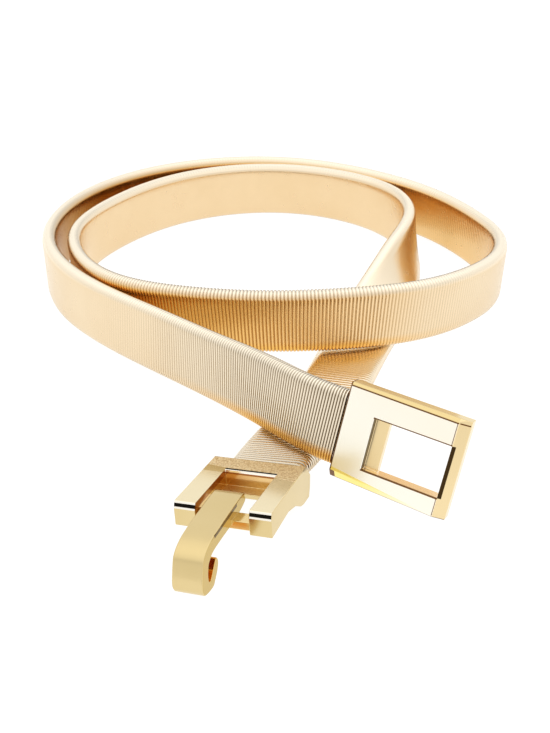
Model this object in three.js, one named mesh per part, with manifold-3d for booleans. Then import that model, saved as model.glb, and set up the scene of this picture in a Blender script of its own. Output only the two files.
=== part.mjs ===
// An elastic stretch belt, lying on a table in two turns: a long flattened coil of gold wire with a framed
// buckle on one end and a hooked buckle on the other. Millimetres, +Z up, the table at z = 0.
import * as THREE from "three";
import { ConvexGeometry } from "three/addons/geometries/ConvexGeometry.js";
import { mergeVertices } from "three/addons/utils/BufferGeometryUtils.js";
import Module from "manifold-3d";

const wasm = await Module();
wasm.setup();

// Driving dimensions of the belt
const LOOP_WIDTH = 150; // the waist loop, side to side, along the middle of the band
const LOOP_DEPTH = 120; // the waist loop, front to back
const LOOP_CENTRE = { x: 0.7, y: 47.55 }; // from the middle of the whole belt, ends included
const BAND_WIDTH = 20;
const BAND_THICKNESS = 4.7;
const BAND_WALL = 1;
const FIT_GAP = 0.3; // between a band end and its buckle
const TANG_LENGTH = 4; // the flat tongue of each buckle that the band's hollow grips
const TANG_CLEARANCE = { sides: 2.5, faces: 0.5 }; // inside the hollow, for the band's own curve

// Framed buckle: x runs away from the band, y across it, z out of its face
const FRAME_LENGTH = 30.9;
const FRAME_WIDTH = 25.4;
const FRAME_THICKNESS = 4.3;
const FRAME_PROUD = 0.55; // its face over the band's face
const FRAME_EDGE = 0.35; // small chamfer along the edge beside the band
const WINDOW_START = 8; // from the edge beside the band
const END_BAR = 3; // the bar that closes the window
const END_BAR_STEP = 0.35;
const END_BAR_FALL = 0.9;
const WINDOW_WIDTH = 13.4;
const WINDOW_SHIFT = -1; // the window sits a little below the middle
const LEDGE_LENGTH = 3.6; // step inside the window, beside the band
const LEDGE_DEPTH = 2;
const LOWER_BEVEL = { start: 2.2, end: 0.3 };
const UPPER_BEVEL = { start: 0.7, end: 1 };
const BEVEL_SLOPE = 0.9; // drop of a bevel for each millimetre of its width

// Hooked buckle: x runs across the plate, y back towards the band, z up out of its face
const PLATE_WIDTH = 24.4;
const PLATE_LENGTH = 24.3;
const PLATE_THICKNESS = 5.4;
const LEG_TOE = 0.8; // extra depth at the front of each leg
const LEG_WIDTH = 5.5;
const CROSSBAR = 6.3;
const LEG_CHAMFER = { length: 0.6, height: 1.8 };
const BASE_THICKNESS = 1.2; // floor of the window, in front of the crossbar
const BASE_LENGTH = 3.6;
const SIDE_WALL = 0.9;
const WALL_DEPTH = { left: 7, right: 9 }; // the left wall stops short of the table
const WALL_REACH = 2.7; // behind the plate, beside the band
const BAND_OFFSET = 1; // the band enters this far right of the middle
const BAND_SINK = 0.85; // the band's face under the plate's face
const LOW_BAR = { start: 0.5, length: 4.1, thickness: 2.1 };
const TONGUE_START = 7;
const TONGUE_WIDTH = 7.3;
const TONGUE_LENGTH = 17; // from the plate's front edge to the front of the hook
const HOOK_DEPTH = 13.2; // from the plate's face to the lowest point of the hook

// The band's middle line, from the framed buckle to the hooked one. across and depth are shares of half the
// loop's width and depth, raised is the height of the lower edge over the table as a share of the band's
// thickness, and lean is the band's tilt from upright, in degrees.
const ROUTE = [
  [0.223, -1.832, 1.375, 21.7],
  [0.164, -1.79, 1.424, 20.7],
  [0.083, -1.711, 1.4, 17],
  [-0.026, -1.567, 1.22, 14],
  [-0.211, -1.328, 0.785, 9],
  [-0.472, -1.012, 0.315, 9],
  [-0.71, -0.738, 0.075, 6],
  [-0.898, -0.453, 0, 3],
  [-0.995, -0.15, 0, 0],
  [-0.995, 0.16, 0, 0],
  [-0.885, 0.49, 0, 0],
  [-0.64, 0.785, 0, 0],
  [-0.265, 0.96, 0, 0],
  [0.1, 0.955, 0, 0],
  [0.475, 0.765, 0, 0],
  [0.77, 0.455, 0, 1],
  [0.93, 0.13, 0, 0],
  [0.985, -0.105, 0.02, -1],
  [0.95, -0.345, 0.13, -1],
  [0.83, -0.565, 0.385, 0],
  [0.59, -0.81, 0.875, 1],
  [0.31, -0.94, 1.215, 2],
  [-0.045, -0.96, 1.15, 1],
  [-0.36, -0.865, 0.81, 0],
  [-0.655, -0.655, 0.3, 0],
  [-0.825, -0.368, 0.045, -2],
  [-0.885, -0.025, 0, -2],
  [-0.77, 0.33, 0, -1],
  [-0.485, 0.69, 0, -1],
  [-0.05, 0.855, 0, 1],
  [0.335, 0.74, 0, -1],
  [0.57, 0.48, 0, -5],
  [0.63, 0.16, 0, 7],
  [0.575, -0.13, 0.01, 29],
  [0.495, -0.405, 0.015, 53],
  [0.385, -0.705, 0.03, 77],
  [0.285, -1.015, 0.02, 88],
  [0.175, -1.365, 0.02, 90],
  [0.011, -1.776, 0.25, 92.5],
  [-0.024, -1.897, 0.548, 96.4],
  [-0.034, -1.93, 0.6, 97.5],
].map(([across, depth, raised, lean]) => ({ across, depth, raised, lean }));

const BAND_STEPS = 132;
const EDGE_STEPS = 4; // facets round each rounded edge of the band
const TABLE_UP = new THREE.Vector3(0, 0, 1);
const OVERCUT = 1; // how far a cutter runs past what it cuts

// A smooth curve through values at rising knots, straight at both ends
function naturalSpline(knots, values) {
  const last = knots.length - 1;
  const gap = knots.slice(1).map((knot, i) => knot - knots[i]);
  const ratio = new Array(last).fill(0);
  const load = new Array(last).fill(0);
  const bend = new Array(last + 1).fill(0);
  for (let i = 1; i < last; i++) {
    const kink = (values[i + 1] - values[i]) / gap[i] - (values[i] - values[i - 1]) / gap[i - 1];
    const pivot = 2 * (gap[i - 1] + gap[i]) - gap[i - 1] * ratio[i - 1];
    ratio[i] = gap[i] / pivot;
    load[i] = (6 * kink - gap[i - 1] * load[i - 1]) / pivot;
  }
  for (let i = last - 1; i > 0; i--) bend[i] = load[i] - ratio[i] * bend[i + 1];
  return (at) => {
    let i = 0;
    while (i < last - 1 && at > knots[i + 1]) i++;
    const b = (at - knots[i]) / gap[i];
    const a = 1 - b;
    const curved = (a ** 3 - a) * bend[i] + (b ** 3 - b) * bend[i + 1];
    return a * values[i] + b * values[i + 1] + (curved * gap[i] ** 2) / 6;
  };
}

// Height of the band's middle line when its lower edge is on the table
function standingHeight(lean) {
  const edge = BAND_THICKNESS / 2;
  return (BAND_WIDTH / 2 - edge) * Math.abs(Math.cos(THREE.MathUtils.degToRad(lean))) + edge;
}

function routePoint({ across, depth, raised, lean }) {
  return new THREE.Vector3(
    LOOP_CENTRE.x + (across * LOOP_WIDTH) / 2,
    LOOP_CENTRE.y + (depth * LOOP_DEPTH) / 2,
    standingHeight(lean) + raised * BAND_THICKNESS,
  );
}

// The band's route: its place and its three directions (along, across its width, out of its face) at any
// share of its length
function bandRoute() {
  const points = ROUTE.map(routePoint);
  const knots = [0];
  for (let i = 1; i < points.length; i++) knots.push(knots[i - 1] + points[i].distanceTo(points[i - 1]));
  const length = knots[knots.length - 1];
  const along = (key) => naturalSpline(knots, ROUTE.map((row) => row[key]));
  const curves = { across: along("across"), depth: along("depth"), raised: along("raised"), lean: along("lean") };
  const rowAt = (s) => ({
    across: curves.across(s),
    depth: curves.depth(s),
    raised: curves.raised(s),
    lean: curves.lean(s),
  });
  const nudge = length / 2000;
  return (share) => {
    const s = share * length;
    const row = rowAt(s);
    const ahead = routePoint(rowAt(Math.min(s + nudge, length)));
    const behind = routePoint(rowAt(Math.max(s - nudge, 0)));
    const travel = ahead.sub(behind).normalize();
    const upright = TABLE_UP.clone().addScaledVector(travel, -travel.z).normalize();
    const inward = new THREE.Vector3().crossVectors(travel, upright);
    const lean = THREE.MathUtils.degToRad(row.lean);
    const width = upright.clone().multiplyScalar(Math.cos(lean)).addScaledVector(inward, Math.sin(lean));
    const face = upright.multiplyScalar(Math.sin(lean)).addScaledVector(inward, -Math.cos(lean));
    return { place: routePoint(row), travel, width, face };
  };
}

const routeAt = bandRoute();

// Outline of a band with rounded edges, as pairs of distances across its width and out of its face
function bandOutline(width, thickness) {
  const radius = thickness / 2;
  const reach = width / 2 - radius;
  const outline = [];
  for (const side of [1, -1]) {
    for (let i = 0; i <= EDGE_STEPS; i++) {
      const angle = Math.PI * (i / EDGE_STEPS - 0.5);
      outline.push([side * (reach + radius * Math.cos(angle)), side * radius * Math.sin(angle)]);
    }
  }
  return outline;
}

// The band: a tube with rounded edges, open at both ends
function bandGeometry() {
  const outer = bandOutline(BAND_WIDTH, BAND_THICKNESS);
  const inner = bandOutline(BAND_WIDTH - 2 * BAND_WALL, BAND_THICKNESS - 2 * BAND_WALL);
  const ring = [...outer, ...inner];
  const count = outer.length;
  const positions = [];
  for (let step = 0; step <= BAND_STEPS; step++) {
    const { place, width, face } = routeAt(step / BAND_STEPS);
    for (const [w, f] of ring) positions.push(...place.clone().addScaledVector(width, w).addScaledVector(face, f));
  }
  const indices = [];
  const quad = (a, b, c, d) => indices.push(a, c, b, a, d, c);
  for (let side = 0; side < count; side++) {
    const next = (side + 1) % count;
    for (let step = 0; step < BAND_STEPS; step++) {
      const here = step * ring.length;
      const there = here + ring.length;
      quad(here + side, here + next, there + next, there + side);
      quad(here + count + next, here + count + side, there + count + side, there + count + next);
    }
    const end = BAND_STEPS * ring.length;
    quad(next, side, count + side, count + next);
    quad(end + side, end + next, end + count + next, end + count + side);
  }
  const geometry = new THREE.BufferGeometry();
  geometry.setAttribute("position", new THREE.Float32BufferAttribute(positions, 3));
  geometry.setIndex(indices);
  geometry.computeVertexNormals();
  return geometry;
}

function toSolid(geometry) {
  const bare = geometry.clone();
  bare.deleteAttribute("normal");
  bare.deleteAttribute("uv");
  const merged = mergeVertices(bare);
  return new wasm.Manifold(
    new wasm.Mesh({
      numProp: 3,
      vertProperties: new Float32Array(merged.attributes.position.array),
      triVerts: new Uint32Array(merged.index.array),
    }),
  );
}

function toGeometry(solid) {
  const mesh = solid.getMesh();
  const geometry = new THREE.BufferGeometry();
  geometry.setAttribute("position", new THREE.BufferAttribute(mesh.vertProperties, 3));
  geometry.setIndex(new THREE.BufferAttribute(mesh.triVerts, 1));
  geometry.computeVertexNormals();
  return geometry;
}

function block([x0, x1], [y0, y1], [z0, z1]) {
  const geometry = new THREE.BoxGeometry(x1 - x0, y1 - y0, z1 - z0);
  return toSolid(geometry.translate((x0 + x1) / 2, (y0 + y1) / 2, (z0 + z1) / 2));
}

// A side view of (y, z) points, drawn anticlockwise and carried from x0 to x1
function sideSlab(points, x0, x1) {
  const shape = new THREE.Shape(points.map(([y, z]) => new THREE.Vector2(y, z)));
  const geometry = new THREE.ExtrudeGeometry(shape, { depth: x1 - x0, bevelEnabled: false });
  const turn = new THREE.Matrix4().makeBasis(
    new THREE.Vector3(0, 1, 0),
    new THREE.Vector3(0, 0, 1),
    new THREE.Vector3(1, 0, 0),
  );
  return toSolid(geometry.applyMatrix4(turn).translate(x0, 0, 0));
}

// A side view of (x, z) points, drawn anticlockwise and carried across a width centred on y = 0
function endSlab(points, width) {
  const shape = new THREE.Shape(points.map(([x, z]) => new THREE.Vector2(x, z)));
  const geometry = new THREE.ExtrudeGeometry(shape, { depth: width, bevelEnabled: false });
  const turn = new THREE.Matrix4().makeBasis(
    new THREE.Vector3(1, 0, 0),
    new THREE.Vector3(0, 0, 1),
    new THREE.Vector3(0, -1, 0),
  );
  return toSolid(geometry.applyMatrix4(turn).translate(0, width / 2, 0));
}

// Half sizes of the flat tang that fills the band's hollow
const TANG = {
  width: BAND_WIDTH / 2 - BAND_WALL - TANG_CLEARANCE.sides,
  thickness: BAND_THICKNESS / 2 - BAND_WALL - TANG_CLEARANCE.faces,
};

// The corner of the frame that a bevel takes off, for the lower (side -1) or upper (side 1) long edge
function frameBevel(bevel, side) {
  const widthAt = (x) => THREE.MathUtils.lerp(bevel.start, bevel.end, x / (FRAME_LENGTH - END_BAR));
  const outside = FRAME_WIDTH / 2 + OVERCUT;
  const rise = OVERCUT * BEVEL_SLOPE;
  const corners = [-OVERCUT, FRAME_LENGTH + OVERCUT].flatMap((x) => {
    const width = Math.max(widthAt(x), 0);
    return [
      new THREE.Vector3(x, side * (FRAME_WIDTH / 2 - width - OVERCUT), rise),
      new THREE.Vector3(x, side * outside, -width * BEVEL_SLOPE - rise),
      new THREE.Vector3(x, side * outside, rise),
    ];
  });
  return toSolid(new ConvexGeometry(corners));
}

function frameBuckleGeometry() {
  const barStart = FRAME_LENGTH - END_BAR;
  const body = endSlab(
    [
      [0, -FRAME_THICKNESS],
      [FRAME_LENGTH, -FRAME_THICKNESS],
      [FRAME_LENGTH, -END_BAR_STEP - END_BAR_FALL],
      [barStart + END_BAR_STEP, -END_BAR_STEP],
      [barStart, 0],
      [FRAME_EDGE, 0],
      [0, -FRAME_EDGE],
    ],
    FRAME_WIDTH,
  );
  const windowSpan = [WINDOW_SHIFT - WINDOW_WIDTH / 2, WINDOW_SHIFT + WINDOW_WIDTH / 2];
  const ledgeEnd = WINDOW_START + LEDGE_LENGTH;
  const through = block([ledgeEnd, barStart], windowSpan, [-FRAME_THICKNESS - OVERCUT, OVERCUT]);
  const step = block([WINDOW_START, ledgeEnd + OVERCUT], windowSpan, [-LEDGE_DEPTH, OVERCUT]);
  const middle = -FRAME_PROUD - BAND_THICKNESS / 2;
  const tang = block(
    [-TANG_LENGTH, OVERCUT],
    [-TANG.width, TANG.width],
    [middle - TANG.thickness, middle + TANG.thickness],
  );
  return toGeometry(
    body
      .subtract(frameBevel(LOWER_BEVEL, -1))
      .subtract(frameBevel(UPPER_BEVEL, 1))
      .subtract(through)
      .subtract(step)
      .add(tang),
  );
}

// Side view of one side wall of the hooked plate, anticlockwise from its lower front corner
function wallProfile(depth) {
  const back = PLATE_LENGTH + WALL_REACH;
  return [
    [0, -PLATE_THICKNESS - LEG_TOE],
    [PLATE_LENGTH * 0.45, -PLATE_THICKNESS],
    [PLATE_LENGTH * 0.65, -depth * 0.72],
    [PLATE_LENGTH * 0.8, -depth * 0.95],
    [PLATE_LENGTH * 0.88, -depth],
    [PLATE_LENGTH + WALL_REACH * 0.4, -depth],
    [PLATE_LENGTH + WALL_REACH * 0.75, -depth * 0.75],
    [back, -depth * 0.4],
    [PLATE_LENGTH, 0],
    [LEG_CHAMFER.length, 0],
    [0, -LEG_CHAMFER.height],
  ];
}

// Side view of a leg and its share of the crossbar
function legProfile() {
  return [
    [0, -PLATE_THICKNESS - LEG_TOE],
    [PLATE_LENGTH * 0.45, -PLATE_THICKNESS],
    [PLATE_LENGTH, -PLATE_THICKNESS],
    [PLATE_LENGTH, 0],
    [LEG_CHAMFER.length, 0],
    [0, -LEG_CHAMFER.height],
  ];
}

// Side view of the tongue and its hook, anticlockwise from the free rear end. back is a share of the tongue's
// length, positive behind the plate's front edge, and down is a share of the hook's depth.
function tongueProfile() {
  return [
    [0.47, 0.03],
    [0.05, 0.055],
    [-0.5, 0.13],
    [-0.73, 0.205],
    [-0.87, 0.315],
    [-0.93, 0.45],
    [-1, 0.78],
    [-0.97, 0.93],
    [-0.89, 0.99],
    [-0.69, 1],
    [-0.6, 0.91],
    [-0.52, 0.79],
    [-0.48, 0.66],
    [-0.52, 0.58],
    [-0.63, 0.72],
    [-0.72, 0.84],
    [-0.79, 0.83],
    [-0.805, 0.71],
    [-0.77, 0.54],
    [-0.72, 0.47],
    [-0.6, 0.39],
    [-0.34, 0.355],
    [0.02, 0.33],
    [0.25, 0.3],
    [0.52, 0.2],
    [0.52, 0.1],
  ].map(([back, down]) => [back * TONGUE_LENGTH, -down * HOOK_DEPTH]);
}

function hookBuckleGeometry() {
  const right = PLATE_WIDTH - LEG_WIDTH;
  const windowEnd = PLATE_LENGTH - CROSSBAR;
  const legs = sideSlab(legProfile(), 0, LEG_WIDTH).add(sideSlab(legProfile(), right, PLATE_WIDTH));
  const leftWall = sideSlab(wallProfile(WALL_DEPTH.left), 0, SIDE_WALL);
  const rightWall = sideSlab(wallProfile(WALL_DEPTH.right), PLATE_WIDTH - SIDE_WALL, PLATE_WIDTH);
  const inside = [LEG_WIDTH - OVERCUT, right + OVERCUT];
  const floor = -PLATE_THICKNESS;
  const crossbar = block(inside, [windowEnd, PLATE_LENGTH], [floor, 0]);
  const base = block(inside, [windowEnd - BASE_LENGTH, windowEnd + OVERCUT], [floor, floor + BASE_THICKNESS]);
  const lowBar = block(
    inside,
    [LOW_BAR.start, LOW_BAR.start + LOW_BAR.length],
    [floor, floor + LOW_BAR.thickness],
  );
  const tongue = sideSlab(tongueProfile(), TONGUE_START, TONGUE_START + TONGUE_WIDTH);
  const middle = -BAND_SINK - BAND_THICKNESS / 2;
  const centre = PLATE_WIDTH / 2 + BAND_OFFSET;
  const tang = block(
    [centre - TANG.width, centre + TANG.width],
    [PLATE_LENGTH - OVERCUT, PLATE_LENGTH + TANG_LENGTH],
    [middle - TANG.thickness, middle + TANG.thickness],
  );
  const pieces = [leftWall, rightWall, crossbar, base, lowBar, tongue, tang];
  return toGeometry(pieces.reduce((solid, piece) => solid.add(piece), legs));
}

function goldMaterial(colour, roughness) {
  return new THREE.MeshStandardMaterial({ color: colour, roughness, metalness: 1 });
}

// Sets a buckle on the band's end: its three directions, and the place of its own origin
function placeBuckle(mesh, x, y, z, origin) {
  mesh.quaternion.setFromRotationMatrix(new THREE.Matrix4().makeBasis(x, y, z));
  mesh.position.copy(origin);
}

function stretchBand() {
  const mesh = new THREE.Mesh(bandGeometry(), goldMaterial(0xe9cfa8, 0.35));
  mesh.name = "stretch_band";
  return mesh;
}

function frameBuckle() {
  const mesh = new THREE.Mesh(frameBuckleGeometry(), goldMaterial(0xf3e3b8, 0.12));
  mesh.name = "frame_buckle";
  const { place, travel, width, face } = routeAt(0);
  const away = travel.clone().negate();
  const origin = place
    .clone()
    .addScaledVector(away, FIT_GAP)
    .addScaledVector(face, BAND_THICKNESS / 2 + FRAME_PROUD);
  placeBuckle(mesh, away, width, face, origin);
  return mesh;
}

function hookBuckle() {
  const mesh = new THREE.Mesh(hookBuckleGeometry(), goldMaterial(0xdcc27a, 0.15));
  mesh.name = "hook_buckle";
  const { place, travel, width, face } = routeAt(1);
  const across = width.clone().negate();
  const back = travel.clone().negate();
  const origin = place
    .clone()
    .addScaledVector(across, -PLATE_WIDTH / 2 - BAND_OFFSET)
    .addScaledVector(back, -PLATE_LENGTH - FIT_GAP)
    .addScaledVector(face, BAND_THICKNESS / 2 + BAND_SINK);
  placeBuckle(mesh, across, back, face, origin);
  return mesh;
}

const belt = new THREE.Group();
belt.add(stretchBand(), frameBuckle(), hookBuckle());

export default belt;
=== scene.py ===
# Looks of a gold elastic stretch belt that lies on a pale table in two turns, with a framed buckle and a
# hooked buckle. Metres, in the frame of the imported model.
import math

import bpy
import numpy as np
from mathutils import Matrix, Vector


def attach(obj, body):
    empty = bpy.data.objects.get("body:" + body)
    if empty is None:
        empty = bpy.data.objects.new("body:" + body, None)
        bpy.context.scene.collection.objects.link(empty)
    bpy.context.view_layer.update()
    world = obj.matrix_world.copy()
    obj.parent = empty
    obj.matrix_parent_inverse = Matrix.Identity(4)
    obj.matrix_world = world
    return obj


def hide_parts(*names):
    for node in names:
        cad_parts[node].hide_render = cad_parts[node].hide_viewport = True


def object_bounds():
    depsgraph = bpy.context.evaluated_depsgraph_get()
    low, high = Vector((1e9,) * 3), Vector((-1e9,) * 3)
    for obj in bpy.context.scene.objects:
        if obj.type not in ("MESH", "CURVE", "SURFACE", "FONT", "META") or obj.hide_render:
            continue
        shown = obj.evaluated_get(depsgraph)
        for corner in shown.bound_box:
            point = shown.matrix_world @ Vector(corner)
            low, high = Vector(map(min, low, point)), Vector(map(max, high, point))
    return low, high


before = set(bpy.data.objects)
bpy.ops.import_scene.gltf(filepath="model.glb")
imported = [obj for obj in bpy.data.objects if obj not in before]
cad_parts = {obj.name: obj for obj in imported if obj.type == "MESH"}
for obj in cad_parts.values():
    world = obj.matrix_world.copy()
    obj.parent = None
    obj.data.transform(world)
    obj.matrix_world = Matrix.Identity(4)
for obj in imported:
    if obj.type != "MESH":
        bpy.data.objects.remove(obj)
cad_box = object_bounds()

MM = 0.001

# Sizes that the model is built from
LOOP_WIDTH = 150 * MM
LOOP_DEPTH = 120 * MM
LOOP_CENTRE = (0.7 * MM, 47.55 * MM)
BAND_WIDTH = 20 * MM
BAND_THICKNESS = 4.7 * MM
BAND_WALL = 1 * MM
FIT_GAP = 0.3 * MM
FRAME_PROUD = 0.55 * MM
PLATE_WIDTH = 24.4 * MM
PLATE_LENGTH = 24.3 * MM
BAND_OFFSET = 1 * MM
BAND_SINK = 0.85 * MM
TONGUE_START = 7 * MM
TONGUE_WIDTH = 7.3 * MM
TONGUE_LENGTH = 17 * MM
HOOK_DEPTH = 13.2 * MM

# The smooth tongue lies this far over the model's plain one
SKIN = 0.1 * MM
TONGUE_STEPS = 6
TONGUE_EDGE = 0.35 * MM
BUCKLE_EDGE = 0.2 * MM
WELD_REACH = 0.005 * MM

# Camera, as fitted to the photograph; angles in degrees, lens and sensor in millimetres
CAMERA_PLACE = (0.7 * MM, -266.45 * MM, 167.92 * MM)
CAMERA_DOWN = 33.29
CAMERA_LENS = 50.05
CAMERA_SENSOR = 36
CAMERA_RANGE = (0.01, 20)

FLOOR_HALF = 3.0
FLOOR_DROP = 0.05 * MM
FLOOR_GREY = 0.2
FLOOR_GLOW = 0.92

# Brightness of the studio behind the table and before it, by the height that a direction points to: -1 is
# straight down and 1 straight up
BACK_LEVELS = [(-1, 1.0), (0.2, 1.0), (0.6, 1.05), (0.9, 1.3)]
FRONT_LEVELS = [(-1, 1.0), (0.15, 1.0), (0.35, 0.92), (0.8, 1.15)]
LEVEL_LIMIT = 2

# The band's middle line. Each row holds shares of half the loop's width and depth, the height of the lower
# edge over the table as a share of the band's thickness, and the band's tilt from upright in degrees
ROUTE = [
    (0.223, -1.832, 1.375, 21.7),
    (0.164, -1.79, 1.424, 20.7),
    (0.083, -1.711, 1.4, 17),
    (-0.026, -1.567, 1.22, 14),
    (-0.211, -1.328, 0.785, 9),
    (-0.472, -1.012, 0.315, 9),
    (-0.71, -0.738, 0.075, 6),
    (-0.898, -0.453, 0, 3),
    (-0.995, -0.15, 0, 0),
    (-0.995, 0.16, 0, 0),
    (-0.885, 0.49, 0, 0),
    (-0.64, 0.785, 0, 0),
    (-0.265, 0.96, 0, 0),
    (0.1, 0.955, 0, 0),
    (0.475, 0.765, 0, 0),
    (0.77, 0.455, 0, 1),
    (0.93, 0.13, 0, 0),
    (0.985, -0.105, 0.02, -1),
    (0.95, -0.345, 0.13, -1),
    (0.83, -0.565, 0.385, 0),
    (0.59, -0.81, 0.875, 1),
    (0.31, -0.94, 1.215, 2),
    (-0.045, -0.96, 1.15, 1),
    (-0.36, -0.865, 0.81, 0),
    (-0.655, -0.655, 0.3, 0),
    (-0.825, -0.368, 0.045, -2),
    (-0.885, -0.025, 0, -2),
    (-0.77, 0.33, 0, -1),
    (-0.485, 0.69, 0, -1),
    (-0.05, 0.855, 0, 1),
    (0.335, 0.74, 0, -1),
    (0.57, 0.48, 0, -5),
    (0.63, 0.16, 0, 7),
    (0.575, -0.13, 0.01, 29),
    (0.495, -0.405, 0.015, 53),
    (0.385, -0.705, 0.03, 77),
    (0.285, -1.015, 0.02, 88),
    (0.175, -1.365, 0.02, 90),
    (0.011, -1.776, 0.25, 92.5),
    (-0.024, -1.897, 0.548, 96.4),
    (-0.034, -1.93, 0.6, 97.5),
]
ROUTE_SAMPLES = 4000

# The hooked buckle's tongue from the side, anticlockwise. Each row holds shares of its length behind the
# plate's front edge, and of the hook's depth below its face
TONGUE = [
    (0.47, 0.03),
    (0.05, 0.055),
    (-0.5, 0.13),
    (-0.73, 0.205),
    (-0.87, 0.315),
    (-0.93, 0.45),
    (-1, 0.78),
    (-0.97, 0.93),
    (-0.89, 0.99),
    (-0.69, 1),
    (-0.6, 0.91),
    (-0.52, 0.79),
    (-0.48, 0.66),
    (-0.52, 0.58),
    (-0.63, 0.72),
    (-0.72, 0.84),
    (-0.79, 0.83),
    (-0.805, 0.71),
    (-0.77, 0.54),
    (-0.72, 0.47),
    (-0.6, 0.39),
    (-0.34, 0.355),
    (0.02, 0.33),
    (0.25, 0.3),
    (0.52, 0.2),
    (0.52, 0.1),
]

# The coil along the band: share of its length, pitch as a share of the plain pitch, depth of the grooves and
# the painted shade in their bottoms, painted warm reflection on the outer face, the inner face and the outer
# face's lower edge, painted shade of the line along the top, painted light on the outer face, and lean of the
# turns of wire in degrees
COIL_COLUMNS = ("share", "pitch", "groove", "line", "outer", "inner", "foot", "crest_shade", "light", "shear")
COIL = [
    (0.0, 0.7, 1.0, 1.0, 0, 0, 1.0, 1.0, 0, 0),
    (0.03, 0.76, 1.0, 1.0, 0, 0, 1.0, 1.0, 0, 2),
    (0.045, 0.82, 0.9, 0.8, 0, 0, 0.5, 1.0, 0, 4),
    (0.065, 0.9, 0.7, 0.5, 0, 0, 0.15, 0.9, 0, 4),
    (0.085, 1.0, 0.25, 0.15, 0, 0, 0, 0.6, 0, 2),
    (0.11, 1.0, 0.06, 0.02, 0, 0.3, 0, 0.5, 0, 0),
    (0.14, 1.0, 0.06, 0, 0, 0.9, 0, 0.6, 0, 0),
    (0.21, 1.0, 0.06, 0, 0, 1.0, 0, 0.3, 0, 0),
    (0.27, 1.0, 0.06, 0, 0, 0.7, 0, 0.2, 0, 0),
    (0.34, 1.0, 0.1, 0.03, 0, 0.45, 0, 0.2, 0, 0),
    (0.39, 1.0, 0.15, 0.06, 0, 0.6, 0, 0.2, 0, 0),
    (0.43, 1.0, 0.12, 0.04, 0, 0.3, 0, 0.3, 0, 0),
    (0.46, 1.0, 0.12, 0.04, 0, 0, 0, 0.5, 0, 0),
    (0.485, 1.0, 0.35, 0.2, 0.1, 0, 0.2, 0.8, 0, 0),
    (0.505, 1.0, 0.8, 0.5, 0.4, 0, 0.5, 1.0, 0, 0),
    (0.525, 1.0, 1.0, 0.8, 0.7, 0, 0.6, 1.0, 0, 0),
    (0.55, 1.0, 1.0, 0.9, 0.9, 0, 0.4, 1.0, 0, 0),
    (0.575, 1.0, 1.0, 0.9, 1.0, 0, 0.3, 1.0, 0, 0),
    (0.595, 1.0, 0.5, 0.6, 1.0, 0, 0.3, 0.9, 0, 0),
    (0.615, 1.0, 0.12, 0.1, 0.7, 0.1, 0, 0.6, 0, 0),
    (0.65, 1.0, 0.1, 0, 0.2, 0.15, 0, 0.4, 0, 0),
    (0.84, 1.0, 0.1, 0, 0, 0.22, 0, 0.3, 0, 0),
    (0.9, 1.0, 0.05, 0, 0, 0.1, 0, 0, 0.8, 0),
    (0.935, 1.0, 0.05, 0, 0, 0, 0, 0, 0.8, 4),
    (0.955, 1.2, 0.6, 0.35, 0, 0, 0, 0, 0.8, 14),
    (0.97, 1.25, 0.9, 0.8, 0, 0, 0, 0, 0.8, 22),
    (0.985, 1.25, 1.0, 0.9, 0, 0, 0, 0, 0.8, 22),
    (1.0, 1.25, 1.0, 0.9, 0, 0, 0, 0, 0.8, 0),
]

RIB_PITCH = 1.05 * MM
GROOVE_DEPTH = 0.38 * MM
# One turn of wire seen from the side: share of the pitch, and how far below the top as a share of the depth
RIB_PROFILE = [(0.0, 1.0), (0.1, 0.5), (0.28, 0.1), (0.5, 0.0), (0.72, 0.1), (0.9, 0.5)]
# Steps round each rim of the band, and the points on each flat face as shares of the way out to the rims
EDGE_STEPS = 6
FACE_PLACES = (0.75, -0.75)
INNER_STEPS = 150

# The painted shade line along the band's top lies where the rim turns out of sight, in degrees from the
# middle of the rim. It follows the band's tilt within limits
CREST_TURN = -29
CREST_SPREAD = 14
CREST_LEAN = (-5, 25)
# Painted shade darkens the inner face where its painted warm reflection is stronger than this
INNER_SHADE_FROM = 0.55
# The plain inner wall gets full painted shade, half the painted warm reflection and no painted light
INNER_WALL_SHADE = (1.0, 0.5, 0.0, 1.0)
TOLERANCE = 1e-9

# Colours. All but the stipple's two are painted light on the band and buckles: painted shade, painted
# reflection and painted highlights
BLACK_SHADE = (0.01, 0.008, 0.006)
DARK_SHADE = (0.05, 0.028, 0.01)
COLD_SHADE = (0.07, 0.04, 0.02)
SIDE_SHADE_LINE = (0.16, 0.1, 0.03)
BROWN_SHADE = (0.17, 0.075, 0.02)
WARM_SHADE = (0.26, 0.09, 0.012)
DEEP_SHADE = (0.35, 0.13, 0.03)
AMBER_SHADE = (0.45, 0.19, 0.03)
COPPER_SHADE = (0.55, 0.24, 0.05)
PIT = (0.58, 0.38, 0.15)
OLIVE_SHADE = (0.6, 0.43, 0.14)
HONEY_SHADE = (0.72, 0.34, 0.05)
SHADED_GOLD = (0.74, 0.58, 0.28)
WALL_REFLECTION = (0.75, 0.52, 0.2)
TAN_SHADE = (0.84, 0.67, 0.38)
BAR_REFLECTION = (0.85, 0.6, 0.28)
LOW_BAR_REFLECTION = (0.86, 0.66, 0.32)
LEDGE_SHADE = (0.86, 0.68, 0.38)
END_FACE_SHADE = (0.86, 0.7, 0.42)
LEDGE_WALL_SHADE = (0.9, 0.72, 0.45)
LEG_TOP_HIGHLIGHT = (0.9, 0.79, 0.54)
REFLECTED_ORANGE = (0.93, 0.51, 0.085)
PEACH_REFLECTION = (0.97, 0.76, 0.5)
REFLECTED_YELLOW = (1.0, 0.85, 0.27)
STIPPLED_GOLD = (1.0, 0.84, 0.55)
RIM_HIGHLIGHT = (1.0, 0.91, 0.75)
GLINT = (1.0, 0.95, 0.85)


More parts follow.
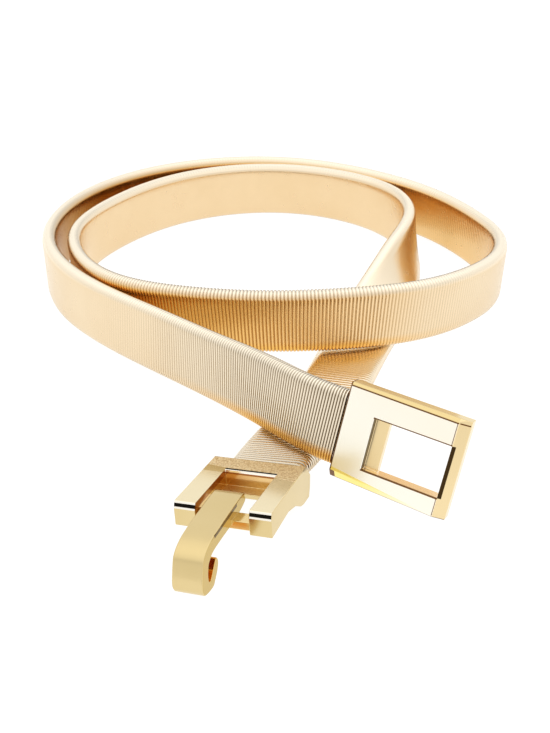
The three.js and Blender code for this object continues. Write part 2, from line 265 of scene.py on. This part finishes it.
def natural_spline(knots, values, at):
    """A smooth curve through values at rising knots, straight at both ends, read at many places."""
    gap = np.diff(knots)
    n = len(knots)
    system = np.eye(n)
    load = np.zeros(n)
    for i in range(1, n - 1):
        system[i, i - 1 : i + 2] = gap[i - 1], 2 * (gap[i - 1] + gap[i]), gap[i]
        load[i] = 6 * ((values[i + 1] - values[i]) / gap[i] - (values[i] - values[i - 1]) / gap[i - 1])
    bend = np.linalg.solve(system, load)
    i = np.clip(np.searchsorted(knots, at) - 1, 0, n - 2)
    b = (at - knots[i]) / gap[i]
    a = 1 - b
    curved = (a**3 - a) * bend[i] + (b**3 - b) * bend[i + 1]
    return a * values[i] + b * values[i + 1] + curved * gap[i] ** 2 / 6


def route_points(rows):
    """Points of the band's middle line for rows of the route's table."""
    across, depth, raised, lean = rows.T
    edge = BAND_THICKNESS / 2
    standing = (BAND_WIDTH / 2 - edge) * np.abs(np.cos(np.radians(lean))) + edge
    x = LOOP_CENTRE[0] + across * LOOP_WIDTH / 2
    y = LOOP_CENTRE[1] + depth * LOOP_DEPTH / 2
    z = standing + raised * BAND_THICKNESS
    return np.stack([x, y, z], axis=-1)


def unit(v):
    return v / np.linalg.norm(v, axis=-1, keepdims=True)


class Route:
    """The band's middle line with its three directions: along it, across its width and out of its face."""

    def __init__(self):
        table = np.array(ROUTE)
        places = route_points(table)
        knots = np.concatenate([[0], np.cumsum(np.linalg.norm(np.diff(places, axis=0), axis=1))])
        self.length = knots[-1]
        self.at = np.linspace(0, self.length, ROUTE_SAMPLES)
        rows = np.stack([natural_spline(knots, table[:, c], self.at) for c in range(4)], axis=-1)
        self.place = route_points(rows)
        self.lean = rows[:, 3]
        self.travel = unit(np.gradient(self.place, self.at, axis=0))
        upright = unit(np.array([0, 0, 1]) - self.travel[:, 2:] * self.travel)
        inward = np.cross(self.travel, upright)
        lean = np.radians(rows[:, 3:])
        self.width = upright * np.cos(lean) + inward * np.sin(lean)
        self.face = upright * np.sin(lean) - inward * np.cos(lean)

    def read(self, values, s):
        return np.stack([np.interp(s, self.at, values[:, c]) for c in range(3)], axis=-1)

    def point(self, s, across, out):
        """Points at distances s along the band, across its width and out of its face."""
        width = self.read(self.width, s) * across[..., None]
        face = self.read(self.face, s) * out[..., None]
        return self.read(self.place, s) + width + face


route = Route()


def band_outline(width, thickness):
    """Outline of the band's section and its outward normals, both as (across, out) pairs."""
    radius = thickness / 2
    reach = width / 2 - radius
    points, normals = [], []
    for side in (1, -1):
        for i in range(EDGE_STEPS + 1):
            angle = math.pi * (i / EDGE_STEPS - 0.5)
            normal = (side * math.cos(angle), side * math.sin(angle))
            points.append((side * reach + radius * normal[0], radius * normal[1]))
            normals.append(normal)
        for place in FACE_PLACES:
            points.append((side * reach * place, side * radius))
            normals.append((0, side))
    return np.array(points), np.array(normals)


def mesh_object(name, vertices, faces, smooth=True):
    mesh = bpy.data.meshes.new(name)
    mesh.from_pydata(vertices.tolist(), [], faces)
    mesh.update()
    mesh.polygons.foreach_set("use_smooth", [smooth] * len(mesh.polygons))
    obj = bpy.data.objects.new(name, mesh)
    bpy.context.scene.collection.objects.link(obj)
    return obj


def round_edges(obj, width, segments, angle):
    bevel = obj.modifiers.new("edges", "BEVEL")
    bevel.width = width
    bevel.segments = segments
    bevel.limit_method = "ANGLE"
    bevel.angle_limit = math.radians(angle)
    bevel.harden_normals = True


def tube_faces(rings, count, offset=0, inward=False):
    """Faces between rings of count points each."""
    ring, side = np.meshgrid(np.arange(rings - 1), np.arange(count), indexing="ij")
    here = offset + ring * count
    following = (side + 1) % count
    corners = [here + side, here + following, here + count + following, here + count + side]
    order = corners if inward else corners[::-1]
    return np.stack(order, axis=-1).reshape(-1, 4).tolist()


def coil_course():
    """Where the coil's rings of points lie along the band, how deep each lies, and its row of the table."""
    table = np.array(COIL).T
    shares = route.at / route.length
    spacing = RIB_PITCH * np.interp(shares, table[0], table[COIL_COLUMNS.index("pitch")])
    turns = np.concatenate([[0], np.cumsum(np.diff(route.at) / spacing[1:])])
    ribs = round(turns[-1])
    count_up = np.array([rib + share for rib in range(ribs) for share, _ in RIB_PROFILE] + [ribs]) / ribs
    phase = np.interp(count_up * turns[-1], turns, shares)
    below = np.array([below for _, below in RIB_PROFILE] * ribs + [RIB_PROFILE[0][1]])
    columns = {name: np.interp(phase, table[0], row) for name, row in zip(COIL_COLUMNS, table)}
    return phase, below, columns


def coil_surface(phase, below, columns, outline, normals):
    """Rings of points round the band, drawn in between the turns of wire."""
    dip = (below * columns["groove"] * GROOVE_DEPTH)[:, None]
    shear = np.tan(np.radians(columns["shear"]))[:, None]
    across = outline[:, 0] - normals[:, 0] * dip
    out = outline[:, 1] - normals[:, 1] * dip
    s = phase[:, None] * route.length + across * shear
    return route.point(np.clip(s, 0, route.length), across, out)


def inner_surface():
    """Rings of points round the band's plain inner wall."""
    outline, _ = band_outline(BAND_WIDTH - 2 * BAND_WALL, BAND_THICKNESS - 2 * BAND_WALL)
    shape = (INNER_STEPS, len(outline))
    s = np.broadcast_to(np.linspace(0, route.length, INNER_STEPS)[:, None], shape)
    return route.point(s, np.broadcast_to(outline[:, 0], shape), np.broadcast_to(outline[:, 1], shape))


def coil_shading(columns, below, lean, outline, normals):
    """Painted shade, painted warm reflection and painted light of each point of the coil, for its finish."""
    column = {name: values[:, None] for name, values in columns.items()}
    groove = below[:, None]
    top = np.clip(normals[:, 0], 0, 1)
    outside = np.clip(normals[:, 1], 0, 1) * (1 - top)
    inside = np.clip(-normals[:, 1], 0, 1) * (1 - top)
    lower_rim = outline[:, 0] <= (BAND_THICKNESS - BAND_WIDTH) / 2 + TOLERANCE
    foot = lower_rim & (normals[:, 1] > -0.1)
    turn = np.degrees(np.arctan2(normals[:, 1], normals[:, 0]))
    from_crest = turn - CREST_TURN - np.clip(lean, *CREST_LEAN)[:, None]
    crest_shade = np.exp(-((from_crest / CREST_SPREAD) ** 2))
    # Painted shade: in the groove bottoms, along the line at the top, and on the inner face where its painted
    # reflection is strongest
    dark = groove**0.65 * column["line"] * (1 - 0.5 * top)
    dark = dark + column["crest_shade"] * crest_shade * (0.6 + 0.4 * groove)
    dark = dark + 1.8 * np.clip(column["inner"] - INNER_SHADE_FROM, 0, 1) * inside
    # Painted warm reflection on the outer face, the inner face and the outer lower rim
    warm_reflection = column["outer"] * outside + column["inner"] * inside + column["foot"] * foot
    # Painted highlight on the crowns of the turns, on the top rim and on the outer face
    crown_highlight = 0.85 * column["line"] * (1 - groove) ** 3 * outside
    light = np.clip(top * 1.3, 0, 1) + crown_highlight + column["light"] * outside
    return np.clip(np.stack([dark, warm_reflection, light, np.ones_like(dark)], axis=-1), 0, 1)


def coil_band():
    """The band as a coil of flat wire: ribs outside, a plain wall inside, and closed rims at both ends."""
    phase, below, columns = coil_course()
    outline, normals = band_outline(BAND_WIDTH, BAND_THICKNESS)
    outer = coil_surface(phase, below, columns, outline, normals)
    inner = inner_surface()

    rings, count = outer.shape[:2]
    first_inner = rings * count
    last_outer = first_inner - count
    last_inner = first_inner + (INNER_STEPS - 1) * count
    faces = tube_faces(rings, count) + tube_faces(INNER_STEPS, count, first_inner, inward=True)
    for i in range(count):
        j = (i + 1) % count
        faces.append([first_inner + j, first_inner + i, i, j])
        faces.append([last_inner + i, last_inner + j, last_outer + j, last_outer + i])
    band = mesh_object("coil_band", np.concatenate([outer.reshape(-1, 3), inner.reshape(-1, 3)]), faces)

    # Painted shade, painted warm reflection and painted light of each point, kept on the band for the wire's
    # finish
    lean = np.interp(phase, route.at / route.length, route.lean)
    shading = coil_shading(columns, below, lean, outline, normals).reshape(-1, 4)
    wall_shading = np.tile(INNER_WALL_SHADE, (INNER_STEPS * count, 1))
    attribute = band.data.attributes.new("light_and_shade", "FLOAT_COLOR", "POINT")
    attribute.data.foreach_set("color", np.concatenate([shading, wall_shading]).ravel())
    return band


def buckle_directions(end, side, behind, across_by, out_by):
    """A buckle's own origin, set off from one end of the band, and its directions across, back and out."""
    across = side * route.width[end]
    back = -route.travel[end]
    out = route.face[end]
    origin = route.place[end] + behind * back + across_by * across + out_by * out
    return origin, across, back, out


def frame_directions():
    """The framed buckle: its origin, and its directions away from the band, across it and out of its face."""
    origin, across, away, out = buckle_directions(0, 1, FIT_GAP, 0, BAND_THICKNESS / 2 + FRAME_PROUD)
    return origin, (away, across, out)


def hook_directions():
    """The hooked buckle: its front left corner, and its directions across, back and out of its face."""
    to_corner = -PLATE_WIDTH / 2 - BAND_OFFSET
    to_face = BAND_THICKNESS / 2 + BAND_SINK
    origin, across, back, out = buckle_directions(-1, -1, -PLATE_LENGTH - FIT_GAP, to_corner, to_face)
    return origin, (across, back, out)


def smooth_loop(points, steps):
    """A closed smooth curve through points."""
    t = np.linspace(0, 1, steps, endpoint=False)[:, None]
    before, after, beyond = (np.roll(points, shift, axis=0) for shift in (1, -1, -2))
    spans = []
    for p0, p1, p2, p3 in zip(before, points, after, beyond):
        bend = (2 * p0 - 5 * p1 + 4 * p2 - p3) * t**2 + (3 * p1 - p0 - 3 * p2 + p3) * t**3
        spans.append(0.5 * (2 * p1 + (p2 - p0) * t + bend))
    return np.concatenate(spans)


def grow(loop, amount):
    """An anticlockwise loop moved outwards."""
    along = unit(np.roll(loop, -1, axis=0) - np.roll(loop, 1, axis=0))
    return loop + amount * np.stack([along[:, 1], -along[:, 0]], axis=-1)


def hook_tongue():
    """The hooked buckle's tongue with its curves made smooth and its long edges rounded."""
    origin, (across, back, out) = hook_directions()
    profile = np.array([(w * TONGUE_LENGTH, -v * HOOK_DEPTH) for w, v in TONGUE])
    loop = grow(smooth_loop(profile, TONGUE_STEPS), SKIN)
    sides = (TONGUE_START - SKIN, TONGUE_START + TONGUE_WIDTH + SKIN)
    vertices = [origin + u * across + w * back + v * out for u in sides for w, v in loop]
    n = len(loop)
    faces = [[i, (i + 1) % n, n + (i + 1) % n, n + i] for i in range(n)]
    faces += [list(range(n))[::-1], list(range(n, 2 * n))]
    tongue = mesh_object("hook_tongue", np.array(vertices), faces)
    round_edges(tongue, TONGUE_EDGE, 3, 60)
    return tongue


class Graph:
    """Short ways to make and join the nodes of one node tree."""

    def __init__(self, tree):
        self.nodes = tree.nodes
        self.links = tree.links

    def set(self, socket, value):
        if hasattr(value, "is_output"):
            self.links.new(value, socket)
        else:
            socket.default_value = value

    def math(self, operation, *values):
        node = self.nodes.new("ShaderNodeMath")
        node.operation = operation
        for socket, value in zip(node.inputs, values):
            self.set(socket, value)
        return node.outputs["Value"]

    def spread(self, value, low, high, to_low, to_high):
        """A value moved from one range to another and held within its ends."""
        node = self.nodes.new("ShaderNodeMapRange")
        limits = {"From Min": low, "From Max": high, "To Min": to_low, "To Max": to_high}
        self.set(node.inputs["Value"], value)
        for name, limit in limits.items():
            self.set(node.inputs[name], limit)
        return node.outputs["Result"]


class Finish(Graph):
    """A gold finish whose colours, painted light and shade among them, are mixed from masks over a piece's
    own place and directions.
    """

    def __init__(self, name, dull, bright, patch_scale):
        self.material = bpy.data.materials.new(name)
        self.material.use_nodes = True
        super().__init__(self.material.node_tree)
        self.nodes.clear()
        output = self.nodes.new("ShaderNodeOutputMaterial")
        self.shader = self.nodes.new("ShaderNodeBsdfPrincipled")
        self.shader.inputs["Metallic"].default_value = 1
        self.links.new(self.shader.outputs["BSDF"], output.inputs["Surface"])
        self.position = self.nodes.new("ShaderNodeTexCoord").outputs["Object"]
        self.colour = self.patches(self.noise(patch_scale), dull, bright)

    def noise(self, scale):
        texture = self.nodes.new("ShaderNodeTexNoise")
        texture.inputs["Scale"].default_value = scale
        texture.inputs["Detail"].default_value = 3
        self.links.new(self.position, texture.inputs["Vector"])
        return texture.outputs["Fac"]

    def patches(self, value, dull, bright):
        """Faint cloudy patches between two colours."""
        node = self.nodes.new("ShaderNodeValToRGB")
        for element, place, colour in zip(node.color_ramp.elements, (0.3, 0.7), (dull, bright)):
            element.position = place
            element.color = (*colour, 1)
        self.links.new(value, node.inputs["Fac"])
        return node.outputs["Color"]

    def vector(self, operation, a, b, output):
        node = self.nodes.new("ShaderNodeVectorMath")
        node.operation = operation
        self.set(node.inputs[0], a)
        self.set(node.inputs[1], b)
        return node.outputs[output]

    def stand(self, origin, axes):
        """Reads the piece's own place in millimetres, and how far its surface faces each direction."""
        local = self.vector("SUBTRACT", self.position, tuple(origin), "Vector")
        normal = self.nodes.new("ShaderNodeNewGeometry").outputs["True Normal"]
        self.at = [self.vector("DOT_PRODUCT", local, tuple(axis / MM), "Value") for axis in axes]
        self.facing = [self.vector("DOT_PRODUCT", normal, tuple(axis), "Value") for axis in axes]

    def within(self, *tests):
        """One where every value lies between its limits, otherwise nought."""
        mask = None
        for value, low, high in tests:
            found = self.math("COMPARE", value, (low + high) / 2, (high - low) / 2)
            mask = found if mask is None else self.math("MULTIPLY", mask, found)
        return mask

    def tint(self, mask, colour):
        """Mixes a colour in as far as the mask says."""
        node = self.nodes.new("ShaderNodeMix")
        node.data_type = "RGBA"
        self.links.new(mask, node.inputs[0])
        self.links.new(self.colour, node.inputs[6])
        self.set(node.inputs[7], (*colour, 1))
        self.colour = node.outputs[2]

    def paint(self, colour, *tests):
        """Gives a colour to the surface where all the tests hold."""
        self.tint(self.within(*tests), colour)

    def finish(self, roughness):
        self.links.new(self.colour, self.shader.inputs["Base Color"])
        self.links.new(roughness, self.shader.inputs["Roughness"])
        return self.material

    def bump(self, height, depth):
        node = self.nodes.new("ShaderNodeBump")
        node.inputs["Distance"].default_value = depth
        node.inputs["Strength"].default_value = 1
        self.links.new(height, node.inputs["Height"])
        self.links.new(node.outputs["Normal"], self.shader.inputs["Normal"])


def towards(share, least):
    """Test that a surface faces a direction by at least this share; none is over one."""
    return share, least, 1.1


def against(share, least):
    """Test that a surface faces away from a direction by at least this share."""
    return share, -1.1, -least


def wire_finish():
    """Satin pale gold flat wire, with painted highlights on its rims and painted warm reflection and painted
    shade in its grooves.
    """
    wire = Finish("gold_wire", (0.8, 0.63, 0.41), (0.84, 0.68, 0.46), 40)
    node = wire.nodes.new("ShaderNodeAttribute")
    node.attribute_name = "light_and_shade"
    split = wire.nodes.new("ShaderNodeSeparateColor")
    wire.links.new(node.outputs["Color"], split.inputs["Color"])
    painted_shade, painted_reflection, light = (split.outputs[name] for name in ("Red", "Green", "Blue"))
    # Painted highlight on the rims, painted warm reflection, then painted shade, warm where the reflection is
    # and cool elsewhere
    wire.tint(light, RIM_HIGHLIGHT)
    wire.tint(wire.math("MULTIPLY", painted_reflection, 0.9), REFLECTED_ORANGE)
    wire.tint(wire.math("MULTIPLY", painted_shade, wire.spread(painted_reflection, 0, 0.8, 0, 0.85)), WARM_SHADE)
    wire.tint(wire.math("MULTIPLY", painted_shade, wire.spread(painted_reflection, 0, 0.8, 1, 0)), COLD_SHADE)
    return wire.finish(wire.spread(wire.noise(300), 0.3, 0.7, 0.2, 0.28))


def frame_finish():
    """Mirror polished pale gold, with painted reflection and painted shade on the framed buckle's bevels and
    walls, and lines of painted shade.
    """
    plate = Finish("polished_gold", (1.0, 0.94, 0.81), (1.0, 0.97, 0.86), 40)
    plate.stand(*frame_directions())
    frame_sides(plate)
    frame_window(plate)
    frame_lines(plate)
    face = plate.within(towards(plate.facing[2], 0.97))
    return plate.finish(plate.spread(face, 0, 1, 0.12, 0.24))


def frame_sides(plate):
    """The frame's upper side, lower bevel and side, the corner by the band, and the end bar: painted shade on
    the sides, the corner and the end bar, and painted yellow reflection on the lower bevel.
    """
    u, w, _ = plate.at
    nu, nw, nv = plate.facing
    plate.paint(SHADED_GOLD, towards(nw, 0.3), (w, 11, 13))
    lower_edge = plate.math("MULTIPLY_ADD", u, 0.1, w)
    lower_bevel = plate.within((lower_edge, -13, -9.6), towards(nv, 0.3))
    # Painted yellow reflection on the lower bevel, fading away from the band
    plate.tint(plate.math("MULTIPLY", lower_bevel, plate.spread(u, 9, 24, 1, 0.15)), REFLECTED_YELLOW)
    plate.paint(SHADED_GOLD, against(nw, 0.9), (w, -13, -12))
    plate.paint(BROWN_SHADE, against(nw, 0.3), (u, -0.1, 1.5))
    # Painted shade on the end bar's top and end face
    plate.paint(TAN_SHADE, (u, 27.95, 31.2), towards(nv, 0.3))
    plate.paint(END_FACE_SHADE, towards(nu, 0.7), (u, 30, 31.2))


def frame_window(plate):
    """The ledge in the window, the window's walls, and the dark strip along the end bar, all painted light:
    painted shade on the ledge, on two walls and along one wall's top, painted warm reflection on another
    wall, and painted shade in the strip.
    """
    u, w, v = plate.at
    nu, nw, nv = plate.facing
    plate.paint(LEDGE_SHADE, towards(nv, 0.9), (v, -2.4, -1.6))
    plate.paint(DARK_SHADE, towards(nu, 0.6), (u, 7.6, 8.6))
    plate.paint(LEDGE_WALL_SHADE, towards(nu, 0.6), (u, 11, 12.2))
    plate.paint(PEACH_REFLECTION, towards(nw, 0.6), (w, -8.2, -7.3))
    plate.paint(BROWN_SHADE, towards(nw, 0.3), (w, -8.2, -7.3), (v, -0.45, 0.1))
    plate.paint(DARK_SHADE, (u, 27.95, 28.85), (w, -7.75, 5.75), towards(nv, 0.3))


def frame_lines(plate):
    """The thin dark lines of painted shade along the frame's edges, its window and its end bar."""
    u, w, v = plate.at
    _, nw, nv = plate.facing
    upper_edge = plate.math("MULTIPLY_ADD", u, 0.0108, w)
    beside_window = (u, 7.8, 28)
    plate.paint(BROWN_SHADE, (u, -0.1, 0.42))
    plate.paint(BROWN_SHADE, (upper_edge, 11.7, 12.05), towards(nv, 0.8), (u, 0, 30.9))
    plate.paint(BROWN_SHADE, (u, 27.7, 28.0), towards(nv, 0.97), (w, -12.4, 12))
    plate.paint(BROWN_SHADE, (w, 5.6, 6.05), towards(nv, 0.4), beside_window, (v, -0.4, 0.1))
    plate.paint(BROWN_SHADE, (w, -8.05, -7.65), towards(nv, 0.4), beside_window, (v, -0.4, 0.1))
    plate.paint(BROWN_SHADE, (w, -12.75, -12.5), against(nw, 0.2))


def hook_finish():
    """Polished yellow gold, with painted highlights, painted reflection and painted shade on the walls and
    edges, and the stippled crossbar of the hooked buckle.
    """
    plate = Finish("cast_gold", (0.69, 0.54, 0.26), (0.74, 0.59, 0.31), 45)
    plate.stand(*hook_directions())
    from_middle = plate.math("ABSOLUTE", plate.math("SUBTRACT", plate.at[0], 12.2))
    legs = (from_middle, 6.6, 12.3)
    middle = (from_middle, 0, 6.75)
    hook_walls(plate, legs, middle)
    hook_curl(plate)
    hook_edges(plate, legs, middle)
    rough = hook_stipple(plate, middle)
    return plate.finish(plate.spread(rough, 0, 1, 0.15, 0.3))


def hook_walls(plate, legs, middle):
    """Painted highlight on the legs' tops; painted reflection with painted shade at its top on the left leg's
    inner wall; painted reflection, a gradient of painted shade and painted shade at its top on the crossbar's
    front wall; painted reflection on the low bar.
    """
    u, w, v = plate.at
    nu, nw, nv = plate.facing
    bar_front = (middle, against(nw, 0.7), (w, 17.4, 18.4))
    plate.paint(LEG_TOP_HIGHLIGHT, legs, towards(nv, 0.9), (w, 0.5, 16.5), (v, -0.5, 0.1))
    plate.paint(WALL_REFLECTION, towards(nu, 0.7), (u, 5, 6))
    plate.paint(AMBER_SHADE, towards(nu, 0.4), (u, 5, 6), (v, -1.7, 0.1))
    plate.paint(BAR_REFLECTION, *bar_front)
    # A gradient of painted shade over the crossbar's front wall, deepest at its left
    plate.tint(plate.math("MULTIPLY", plate.within(*bar_front), plate.spread(u, 7, 15, 0.9, 0.1)), COPPER_SHADE)
    plate.paint(DEEP_SHADE, *bar_front, (v, -1.1, -0.2))
    plate.paint(LOW_BAR_REFLECTION, middle, (w, 0.4, 4.7), (v, -5.5, -3))


def hook_curl(plate):
    """Painted shade on the tongue's right side with a darker line of painted shade, and painted shade with
    warm painted reflection inside the hook.
    """
    u, w, v = plate.at
    nu = plate.facing[0]
    tongue_edge = plate.math("MULTIPLY_ADD", w, -0.08, v)
    plate.paint(OLIVE_SHADE, towards(nu, 0.8), (u, 14, 14.6))
    plate.paint(SIDE_SHADE_LINE, towards(nu, 0.5), (u, 14, 14.6), (tongue_edge, -1.8, -1.05), (w, -9, 4))
    plate.paint(HONEY_SHADE, (nu, -0.6, 0.6), (w, -13.9, -8), (v, -11.6, -7.2))


def hook_edges(plate, legs, middle):
    """The painted glints and the black lines of painted shade along the legs' front ends and the crossbar's
    front edge.
    """
    _, w, v = plate.at
    _, nw, nv = plate.facing
    plate.paint(GLINT, legs, against(nw, 0.5), (nv, 0.1, 0.9), (w, -0.3, 0.8))
    plate.paint(BLACK_SHADE, legs, against(nw, 0.5), (v, -1.35, -0.5), (w, -0.3, 0.8))
    plate.paint(BLACK_SHADE, middle, (w, 18.15, 18.85), (v, -0.5, 0.1))
    plate.paint(GLINT, middle, (w, 17.9, 18.15), (v, -0.6, 0.1))


def hook_stipple(plate, middle):
    """Fine pits on part of the crossbar's top and on the base before it; returns where they are."""
    _, w, v = plate.at
    patch = crossbar_patch(plate)
    plate.tint(patch, STIPPLED_GOLD)
    base = plate.within(middle, towards(plate.facing[2], 0.8), (v, -4.6, -3.9), (w, 13, 18.2))
    rough = plate.math("MAXIMUM", patch, base)
    cells = plate.nodes.new("ShaderNodeTexVoronoi")
    cells.inputs["Scale"].default_value = 1 / (0.45 * MM)
    plate.links.new(plate.position, cells.inputs["Vector"])
    distance = cells.outputs["Distance"]
    plate.tint(plate.math("MULTIPLY", rough, plate.spread(distance, 0.25, 0.75, 0, 0.65)), PIT)
    plate.bump(plate.math("MULTIPLY", distance, rough), 0.1 * MM)
    return rough


def crossbar_patch(plate):
    """The stippled part of the crossbar's top: it widens from left to right."""
    u, w, v = plate.at
    start = plate.spread(u, 0, PLATE_WIDTH / MM, 19.8, 15.9)
    behind = plate.math("GREATER_THAN", w, start)
    top = plate.within((v, -0.4, 0.1), (w, 15, 24), towards(plate.facing[2], 0.7))
    clear = plate.math("SUBTRACT", 1, plate.within((w, 15, 18.9), (u, 5.4, 18.95)))
    return plate.math("MULTIPLY", plate.math("MULTIPLY", behind, top), clear)


def dress_buckle(node, material):
    """Softens the edges of a buckle and gives it its finish."""
    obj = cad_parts[node]
    obj.data.materials.clear()
    obj.data.materials.append(material)
    weld = obj.modifiers.new("weld", "WELD")
    weld.merge_threshold = WELD_REACH
    flats = obj.modifiers.new("flats", "DECIMATE")
    flats.decimate_type = "DISSOLVE"
    flats.angle_limit = math.radians(1)
    round_edges(obj, BUCKLE_EDGE, 2, 28)


def make_camera():
    data = bpy.data.cameras.new("camera")
    data.lens = CAMERA_LENS
    data.sensor_width = CAMERA_SENSOR
    data.clip_start, data.clip_end = CAMERA_RANGE
    camera = bpy.data.objects.new("camera", data)
    camera.location = CAMERA_PLACE
    camera.rotation_euler = (math.radians(90 - CAMERA_DOWN), 0, 0)
    bpy.context.scene.collection.objects.link(camera)
    bpy.context.scene.camera = camera


def make_floor():
    """A white table top that glows a little, so that it shows as pure white."""
    z = cad_box[0].z - FLOOR_DROP
    corners = [(x * FLOOR_HALF, y * FLOOR_HALF, z) for x, y in ((-1, -1), (1, -1), (1, 1), (-1, 1))]
    floor = mesh_object("floor", np.array(corners), [(0, 1, 2, 3)], smooth=False)
    material = bpy.data.materials.new("pale_floor")
    material.use_nodes = True
    shader = material.node_tree.nodes["Principled BSDF"]
    shader.inputs["Base Color"].default_value = (FLOOR_GREY, FLOOR_GREY, FLOOR_GREY, 1)
    shader.inputs["Roughness"].default_value = 1
    shader.inputs["Specular IOR Level"].default_value = 0
    shader.inputs["Emission Color"].default_value = (1, 1, 1, 1)
    shader.inputs["Emission Strength"].default_value = FLOOR_GLOW
    floor.data.materials.append(material)


def studio_level(graph, height, stops):
    """The studio's brightness on one side, as a share of the limit, read at a height from 0 to 1."""
    node = graph.nodes.new("ShaderNodeFloatCurve")
    curve = node.mapping.curves[0]
    curve.points[0].location = ((stops[0][0] + 1) / 2, stops[0][1] / LEVEL_LIMIT)
    curve.points[1].location = (1, stops[-1][1] / LEVEL_LIMIT)
    for place, level in stops[1:]:
        curve.points.new((place + 1) / 2, level / LEVEL_LIMIT)
    node.mapping.update()
    graph.links.new(height, node.inputs["Value"])
    return node.outputs["Value"]


def make_world():
    """A white studio: brighter overhead, and a little dimmer in front just above the table's height."""
    world = bpy.data.worlds.new("studio")
    bpy.context.scene.world = world
    world.use_nodes = True
    graph = Graph(world.node_tree)
    direction = graph.nodes.new("ShaderNodeSeparateXYZ")
    graph.links.new(graph.nodes.new("ShaderNodeTexCoord").outputs["Generated"], direction.inputs["Vector"])
    height = graph.math("MULTIPLY_ADD", direction.outputs["Z"], 0.5, 0.5)
    mix = graph.nodes.new("ShaderNodeMix")
    graph.set(mix.inputs[0], graph.spread(direction.outputs["Y"], 0.1, -0.5, 0, 1))
    graph.set(mix.inputs[2], studio_level(graph, height, BACK_LEVELS))
    graph.set(mix.inputs[3], studio_level(graph, height, FRONT_LEVELS))
    background = graph.nodes["Background"]
    background.inputs["Color"].default_value = (1, 0.99, 0.97, 1)
    graph.set(background.inputs["Strength"], graph.math("MULTIPLY", mix.outputs[0], LEVEL_LIMIT))


def dress(obj, material, node=None):
    obj.data.materials.append(material)
    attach(obj, "root")
    if node:
        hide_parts(node)


make_camera()
hook_gold = hook_finish()
dress(coil_band(), wire_finish(), "stretch_band")
dress(hook_tongue(), hook_gold)
dress_buckle("frame_buckle", frame_finish())
dress_buckle("hook_buckle", hook_gold)
make_floor()
make_world()
bpy.context.scene.view_settings.view_transform = "Standard"
